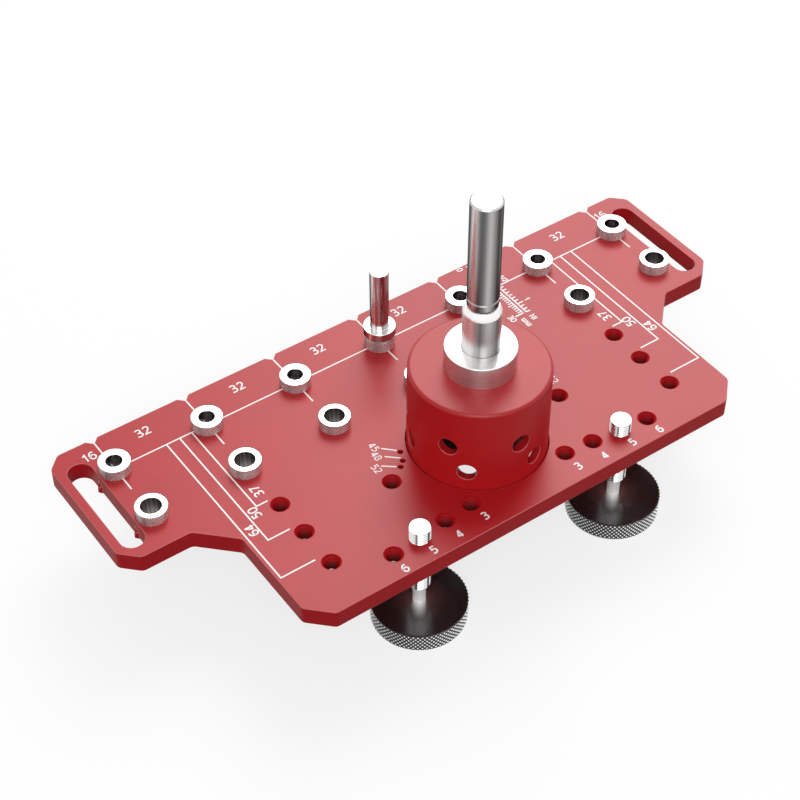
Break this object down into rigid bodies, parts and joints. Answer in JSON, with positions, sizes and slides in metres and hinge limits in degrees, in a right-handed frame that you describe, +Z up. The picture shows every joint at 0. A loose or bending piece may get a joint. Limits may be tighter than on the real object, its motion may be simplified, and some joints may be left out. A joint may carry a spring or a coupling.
{
  "type": "shelf pin jig",
  "caption": "Red anodised drilling plate with rows of steel drill bushes, a removable guide for boring hinge cups, an index pin and screw-in edge stops with knurled wheels.",
  "frame": {"origin": "centre of the bounding box's footprint, at the height of the stop wheels' undersides", "axes": "+X along the rows of bushes to the viewer's right, +Y from the stop screws towards the notched back edge, +Z up along the shank"},
  "size_m": [0.224, 0.104, 0.1254],
  "materials": {
    "red_anodised": "satin anodised",
    "bush_steel": "turned, knurled side",
    "polished_steel": "polished",
    "tool_steel": "ground",
    "carbide": "ground",
    "screw_steel": "bright",
    "wheel_chrome": "polished, knurled rim"
  },
  "bodies": {
    "plate": {"base_plate": "red_anodised", "small_bush_1": "bush_steel", "small_bush_2": "bush_steel", "small_bush_3": "bush_steel", "small_bush_4": "bush_steel", "small_bush_5": "bush_steel", "small_bush_6": "bush_steel", "small_bush_7": "bush_steel", "large_bush_1": "bush_steel", "large_bush_2": "bush_steel", "large_bush_3": "bush_steel", "large_bush_4": "bush_steel", "large_bush_5": "bush_steel", "large_bush_6": "bush_steel", "large_bush_7": "bush_steel"},
    "boring_guide": {"guide_cup": "red_anodised", "guide_collar": "polished_steel"},
    "quill": {"bearing_sleeve": "polished_steel"},
    "boring_bit": {"bit_shank": "polished_steel", "cutter_head": "tool_steel", "cutter_lip_1": "carbide", "cutter_lip_2": "carbide", "cutter_spur_1": "carbide", "cutter_spur_2": "carbide", "centre_point": "carbide"},
    "index_pin_body": {"index_pin": "polished_steel"},
    "left_stop": {"left_stop_screw": "screw_steel", "left_stop_wheel": "wheel_chrome"},
    "right_stop": {"right_stop_screw": "screw_steel", "right_stop_wheel": "wheel_chrome"}
  },
  "joints": [
    {"name": "guide_lift", "type": "slide", "parent": "plate", "child": "boring_guide", "axis": [0, 0, 1], "range_m": [0, 0.05]},
    {"name": "quill_plunge", "type": "slide", "parent": "boring_guide", "child": "quill", "axis": [0, 0, 1], "range_m": [-0.0265, 0]},
    {"name": "bit_spin", "type": "hinge", "parent": "quill", "child": "boring_bit", "pos_m": [0, -0.0147, 0.0639], "axis": [0, 0, 1], "continuous": true},
    {"name": "pin_lift", "type": "slide", "parent": "plate", "child": "index_pin_body", "axis": [0, 0, 1], "range_m": [0, 0.03]},
    {"name": "left_stop_turn", "type": "hinge", "parent": "plate", "child": "left_stop", "pos_m": [-0.0375, -0.03715, 0.0139], "axis": [0, 0, 1], "continuous": true},
    {"name": "right_stop_turn", "type": "hinge", "parent": "plate", "child": "right_stop", "pos_m": [0.0375, -0.03715, 0.0139], "axis": [0, 0, 1], "continuous": true}
  ]
}
